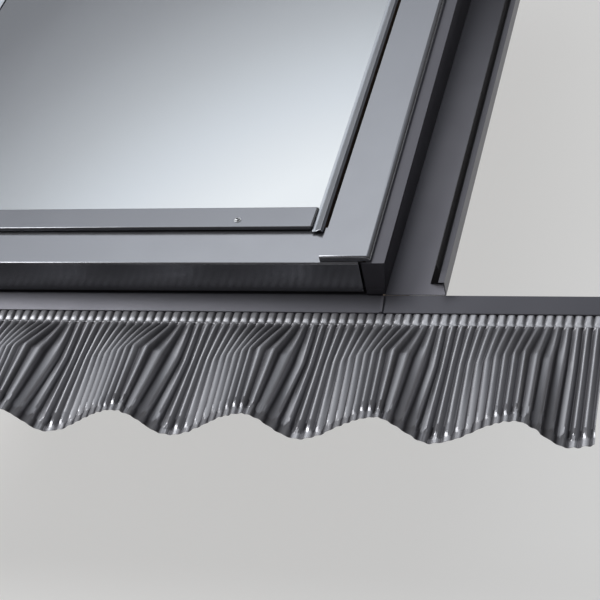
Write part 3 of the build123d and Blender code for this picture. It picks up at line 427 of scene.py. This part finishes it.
cover_screws = bpy.data.objects.new("cover_screws", screw_data)
bpy.context.collection.objects.link(cover_screws)
screw_data.materials.append(zinc_plate)
screw_data.materials.append(moulded_black)
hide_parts("sash_cover_screws")
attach(cover_screws, "sash")
print("screws", len(screw_data.polygons), "faces")

# %% [markdown]
# ## Pleated apron
# Below the window lies a thin aluminium sheet with small pleats, gathered under the strip and
# pressed by hand into waves. Modelling every pleat by hand would take days, and a cloth simulation
# wouldn't keep the folds even. Here one flat grid is made, and each of its points is moved by the
# same few rules that shaped the real sheet. The first rules give the wave, and the lean of the
# pleats as they run down to the kink and on to the lower edge.

# %% Rules of the apron
half_width = 0.655
pleats = 120
pitch = 2 * half_width / pleats
wave_period = 0.150
crest_x = 0.124
steep_width = 0.0549
crease_y, kink_y, low_y = 0.6435, 0.7030, 0.8105
crease_z = 0.0450
kink_crest_z, kink_valley_z = 0.0620, 0.0365
low_crest_z, low_valley_z = 0.0665, 0.0285
kink_spread, kink_lean, kink_scatter = 0.0155, 0.0175, 0.004
spread_from, spread_share = 0.007, 0.22
low_lean, low_swing, swing_from = 0.0095, 0.005, -0.002


def wave(x):
    """1 on a crest and 0 in a valley: gentle on the left of a crest, steep on its right."""
    along = (x - crest_x) % wave_period
    if along < steep_width:
        return (1 + math.cos(math.pi * along / steep_width)) / 2
    return (1 - math.cos(math.pi * (along - steep_width) / (wave_period - steep_width))) / 2


def through(y, *stops):
    """Straight runs through (place, value) pairs."""
    for (y0, a), (y1, b) in zip(stops, stops[1:]):
        if y <= y1:
            return a + (b - a) * max(0.0, y - y0) / (y1 - y0)
    return stops[-1][1]


def chance(pleat, kind):
    """The same chance for the same pleat in every run, from about -1 to 1. The odd factors keep the
    places off the noise's own grid, where it is always 0."""
    return 1.6 * noise.noise(Vector((pleat * 0.731 + 0.37, kind * 5.13, 2.7)))


def pleat_x(u, y):
    """Where the pleat that starts at u has got to at y. The pleats lean to the left, turn at the
    kink, and stand wide apart on the steep side of each crest."""
    taper = 1 - (u / half_width) ** 4
    phase = ((u - crest_x - spread_from) / wave_period) % 1
    spread = phase / spread_share if phase < spread_share else (1 - phase) / (1 - spread_share)
    at_kink = kink_spread * spread - kink_lean
    swing = math.sin(2 * math.pi * (u - crest_x - swing_from) / wave_period)
    at_edge = -low_lean - low_swing * swing
    turn_y = kink_y + kink_scatter * chance(u / pitch, 3)
    return u + taper * through(y, (crease_y, 0), (turn_y, at_kink), (low_y, at_edge))


def middle_z(x, y):
    """Height of the sheet without its pleats."""
    crest = through(y, (crease_y, crease_z), (kink_y, kink_crest_z), (low_y, low_crest_z))
    valley = through(y, (crease_y, crease_z), (kink_y, kink_valley_z), (low_y, low_valley_z))
    return valley + (crest - valley) * wave(x)


print("pleats", round(pitch * 1000, 2), "mm apart, waves", round(wave_period * 1000), "mm")

# %% [markdown]
# The next rule gives the pleats themselves. Above the crease they are gathered into round knots
# with narrow gaps between them. Below it they open into folds, and at the lower edge they are
# pressed flat. A fold's section is part zigzag and part wave, as thin sheet bends by hand. Each
# pleat has its own chance for its depth and for where the pressed part starts, because folds that
# are all alike look machined. A pair is a distance down the slope and half a pleat's depth there.

# %% Pleats
gather_depth = ((0.611, 0.0004), (0.6240, 0.0012), (0.6275, 0.0019), (0.6360, 0.0017), (0.6405, 0.0006),
                (crease_y, 0.0002))
fold_depth = ((crease_y, 0.0003), (0.6452, 0.0019), (0.655, 0.0026), (0.668, 0.0029), (0.790, 0.0030))
zigzag = 0.6
depth_scatter = 0.14
press_y, press_scatter, press_slope = 0.8020, 0.0035, 0.30
pressed_depth, pressed_valley = 0.0005, 1.3


def pleat_height(u, y):
    """Height of the sheet over its middle, and the same as a share from -1 in a valley to 1 on a
    ridge."""
    turn = u / pitch
    pleat = math.floor(turn + 0.5)
    away = abs(turn - pleat) * 2
    if y < crease_y:
        share = 1 - 2 * away ** 4
        return through(y, *gather_depth) * share, share
    share = zigzag * (1 - 2 * away) + (1 - zigzag) * math.cos(math.pi * away)
    height = through(y, *fold_depth) * share * (1 + depth_scatter * chance(pleat, 2))
    flat_y = press_y + press_scatter * chance(pleat, 1)
    pressed = pressed_depth + press_slope * max(0.0, flat_y - y)
    return max(min(height, pressed), -pressed_valley * pressed), share


print("folds up to", round(2000 * max(depth for _, depth in fold_depth), 1), "mm deep")

# %% [markdown]
# The grid has eight faces across each pleat, and rows that stand close where the sheet bends most:
# at the knots, the crease, the kink and the pressed edge. An even grid would need far more faces
# for the same bends. A layer called fold will keep how far up its pleat each point lies.

# %% The apron's grid
rows = [0.611, 0.619, 0.6235, 0.6250, 0.6262, 0.6275, 0.629, 0.631, 0.633, 0.635, 0.637, 0.639, 0.6405,
        0.642, 0.6430, 0.6435, 0.6440, 0.6452, 0.647, 0.650, 0.655, 0.662, 0.670, 0.678, 0.686, 0.693,
        0.698, 0.7015, 0.7045, 0.709, 0.716, 0.725, 0.736, 0.748, 0.760, 0.771, 0.780, 0.786, 0.790,
        0.793, 0.7955, 0.7975, 0.7995, 0.8015, 0.8035, 0.8055, 0.8075, 0.809, low_y]
across = 8
apron_mesh = bmesh.new()
fold = apron_mesh.verts.layers.float.new("fold")
bmesh.ops.create_grid(apron_mesh, x_segments=pleats * across, y_segments=len(rows) - 1, size=1)
print("grid of", pleats * across, "by", len(rows) - 1, "faces")

# %% [markdown]
# Now every point moves to its place. A pleat rises at right angles to the wave under it. The crease
# is pressed into a fine line of its own, and the lower edge is a little ragged. The faces near that
# edge stay flat, as in crumpled foil. A Solidify modifier then gives the sheet its thickness.

# %% The apron's mesh
crease_line = ((0.6420, 0), (0.6430, 0.0004), (0.6440, 0.0004), (0.6452, -0.0002), (0.655, 0))
edge_scatter = 0.0009
step = 0.001
for vertex in apron_mesh.verts:
    row = round((1 - vertex.co.y) / 2 * (len(rows) - 1))
    u = vertex.co.x * half_width
    y = rows[row]
    x = pleat_x(u, y)
    slope = (middle_z(x + step, y) - middle_z(x - step, y)) / (2 * step)
    rise, vertex[fold] = pleat_height(u, y)
    rise += through(y, *crease_line)
    length = math.hypot(slope, 1)
    x = max(-half_width, min(half_width, x - slope / length * rise))
    ragged = edge_scatter * chance(u / pitch * 3, 4) if row == len(rows) - 1 else 0
    vertex.co = (x, -y - ragged, middle_z(x, y) + rise / length)
apron_data = bpy.data.meshes.new("dressed_apron")
apron_mesh.to_mesh(apron_data)
apron_mesh.free()
apron = bpy.data.objects.new("dressed_apron", apron_data)
bpy.context.collection.objects.link(apron)
flat_from = 0.786
for polygon in apron_data.polygons:
    polygon.use_smooth = polygon.center.y > -flat_from
sheet = apron.modifiers.new("sheet", "SOLIDIFY")
sheet.thickness = 0.0006
sheet.offset = 0
print("apron", len(apron_data.polygons), "faces")

# %% [markdown]
# The ridges of the folds get a light grey, a painted highlight, and the valleys a near-black one, a
# painted shade. No noise could find the folds, but the mesh carries them in its fold layer, which a
# material reads as an attribute. It mixes the two greys, over a grain that runs along the folds.

# %% The apron's finish
apron_coat, shader = new_finish("apron_coat", metallic=0.62)
fold_share = add_node(apron_coat, "ShaderNodeAttribute", {"attribute_name": "fold"}).outputs["Fac"]
ridge_light_share = add_node(apron_coat, "ShaderNodeMapRange", Value=fold_share, From_Min=-0.9, From_Max=0.95)
streaks = noise_at(apron_coat, 160, (1, 0.16, 1), detail=4, rough=0.6)
# Painted shade in the valleys and painted highlight on the ridges, mixed by the fold layer.
painted_valley_shade = between(apron_coat, streaks, (0.046, 0.044, 0.050), (0.074, 0.072, 0.081))
painted_ridge_highlight = between(apron_coat, streaks, (0.33, 0.332, 0.355), (0.45, 0.452, 0.478))
coat_mix = add_node(apron_coat, "ShaderNodeMix", {"data_type": "RGBA"})
for index, socket in ((0, ridge_light_share.outputs["Result"]), (6, painted_valley_shade), (7, painted_ridge_highlight)):
    apron_coat.node_tree.links.new(socket, coat_mix.inputs[index])
feed(apron_coat, shader, Base_Color=coat_mix.outputs[2],
     Roughness=between(apron_coat, streaks, 0.31, 0.42))
bumped(apron_coat, shader, streaks, 0.00025, 0.6)
apron_data.materials.append(apron_coat)
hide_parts("pleated_apron")
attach(apron, "frame")
print("apron_coat on the apron")

# %% [markdown]
# ## Floor and light
# A roof window has free room on its inner side, and the open sash swings down into it. So the part
# is held a hand's length above a plain pale floor, which leaves that room in every pose. Light that
# the floor throws back would fill the dark front faces, so its own colour is a mid grey that holds
# the shadow, and a glow that only the camera, reflections and glass see makes it pale.

# %% Floor
def seen_by(tree, *kinds):
    """A socket that is 1 for the named kinds of ray and 0 for all others."""
    path = tree.nodes.new("ShaderNodeLightPath").outputs
    total = path[f"Is {kinds[0]} Ray"]
    for kind in kinds[1:]:
        either = tree.nodes.new("ShaderNodeMath")
        either.operation = "MAXIMUM"
        tree.links.new(total, either.inputs[0])
        tree.links.new(path[f"Is {kind} Ray"], either.inputs[1])
        total = either.outputs[0]
    return total


room_below = 0.2
floor_z = cad_box[0][2] - room_below
floor_radius = 9
floor_mesh = bmesh.new()
bmesh.ops.create_circle(floor_mesh, cap_ends=True, segments=96, radius=floor_radius)
bmesh.ops.translate(floor_mesh, verts=floor_mesh.verts, vec=(0, 0, floor_z))
floor_data = bpy.data.meshes.new("floor")
floor_mesh.to_mesh(floor_data)
floor_mesh.free()
floor = bpy.data.objects.new("floor", floor_data)
bpy.context.collection.objects.link(floor)
floor_finish, shader = new_finish("floor_finish", Roughness=0.8)
glow = seen_by(floor_finish.node_tree, "Camera", "Glossy", "Transmission")
feed(floor_finish, shader, Emission_Strength=glow)
shader.inputs["Base Color"].default_value = (0.36, 0.36, 0.36, 1)
shader.inputs["Emission Color"].default_value = (0.52, 0.52, 0.515, 1)
floor_data.materials.append(floor_finish)
print("floor at", round(floor_z, 4))

# %% [markdown]
# The glass and the satin covers show what they mirror. On the real window that is a bright patch of
# sky behind it, high and a little to the left, in a sky that is dim elsewhere. A picture of a sky
# could give that, but a ramp on the angle from the patch's middle does too, with the cosine of that
# angle as the ramp's factor.

# %% Bright patch of sky
patch_direction = Vector((-0.179, 0.592, 0.786))
world = bpy.data.worlds.new("soft_sky")
bpy.context.scene.world = world
world.use_nodes = True
sky_nodes, sky_links = world.node_tree.nodes, world.node_tree.links
direction = sky_nodes.new("ShaderNodeTexCoord")
towards_patch = sky_nodes.new("ShaderNodeVectorMath")
towards_patch.operation = "DOT_PRODUCT"
towards_patch.inputs[1].default_value = patch_direction.normalized()
sky_links.new(direction.outputs["Generated"], towards_patch.inputs[0])
ramp = sky_nodes.new("ShaderNodeValToRGB")
stops = ((0.0, (0.100, 0.093, 0.090)), (0.60, (0.165, 0.163, 0.165)), (0.86, (0.27, 0.275, 0.29)),
         (0.905, (0.340, 0.352, 0.380)), (0.920, (0.520, 0.540, 0.575)), (0.934, (0.80, 0.835, 0.88)),
         (0.948, (1.15, 1.21, 1.28)), (0.961, (1.48, 1.53, 1.57)), (1.0, (1.60, 1.62, 1.63)))
for place, colour in stops[1:-1]:
    ramp.color_ramp.elements.new(place)
for element, (place, colour) in zip(ramp.color_ramp.elements, stops):
    element.position, element.color = place, (*colour, 1)
sky_links.new(towards_patch.outputs["Value"], ramp.inputs["Fac"])
print("sky with", len(stops), "steps")

# %% [markdown]
# The front faces of the covers mirror what lies near the ground, and are nearly black. So a second
# blend, on the height of the direction, darkens the horizon. The camera itself, and the glass that
# it looks through, see a plain pale background instead.

# %% Horizon and background
horizon_colour = (0.034, 0.028, 0.025, 1)
pale_colour = (0.86, 0.86, 0.855, 1)
height = sky_nodes.new("ShaderNodeSeparateXYZ")
sky_links.new(direction.outputs["Generated"], height.inputs[0])
above_ground = sky_nodes.new("ShaderNodeMapRange")
above_ground.interpolation_type = "SMOOTHSTEP"
above_ground.inputs["From Min"].default_value = 0.02
above_ground.inputs["From Max"].default_value = 0.38
sky_links.new(height.outputs["Z"], above_ground.inputs["Value"])
horizon = sky_nodes.new("ShaderNodeMix")
horizon.data_type = "RGBA"
horizon.inputs[6].default_value = horizon_colour
sky_links.new(above_ground.outputs["Result"], horizon.inputs[0])
sky_links.new(ramp.outputs["Color"], horizon.inputs[7])
background = sky_nodes.new("ShaderNodeMix")
background.data_type = "RGBA"
background.inputs[7].default_value = pale_colour
sky_links.new(seen_by(world.node_tree, "Camera", "Transmission"), background.inputs[0])
sky_links.new(horizon.outputs[2], background.inputs[6])
sky_links.new(background.outputs[2], sky_nodes["Background"].inputs["Color"])
sky_nodes["Background"].inputs["Strength"].default_value = 1.0
print("world of", len(sky_nodes), "nodes")

# %% [markdown]
# A wide lamp high on the left stands outside the patch that the glass mirrors, and too high to be
# mirrored in a view from the right. It lights the flat faces and the left flanks of the pleats, and
# leaves the front faces dark.

# %% Lamp
lamp_place = (-3.15, 0.2, 3.95)
lamp_forward = (0.63, -0.04, -0.78)
lamp_data = bpy.data.lights.new("high_lamp", "AREA")
lamp_data.shape = "DISK"
lamp_data.size = 3.2
lamp_data.energy = 195
lamp = bpy.data.objects.new("high_lamp", lamp_data)
bpy.context.collection.objects.link(lamp)
lamp.matrix_world = Matrix.Translation(lamp_place) @ turned(lamp_forward, (0, 1, 0))
print("lamp", lamp_data.energy, "W")
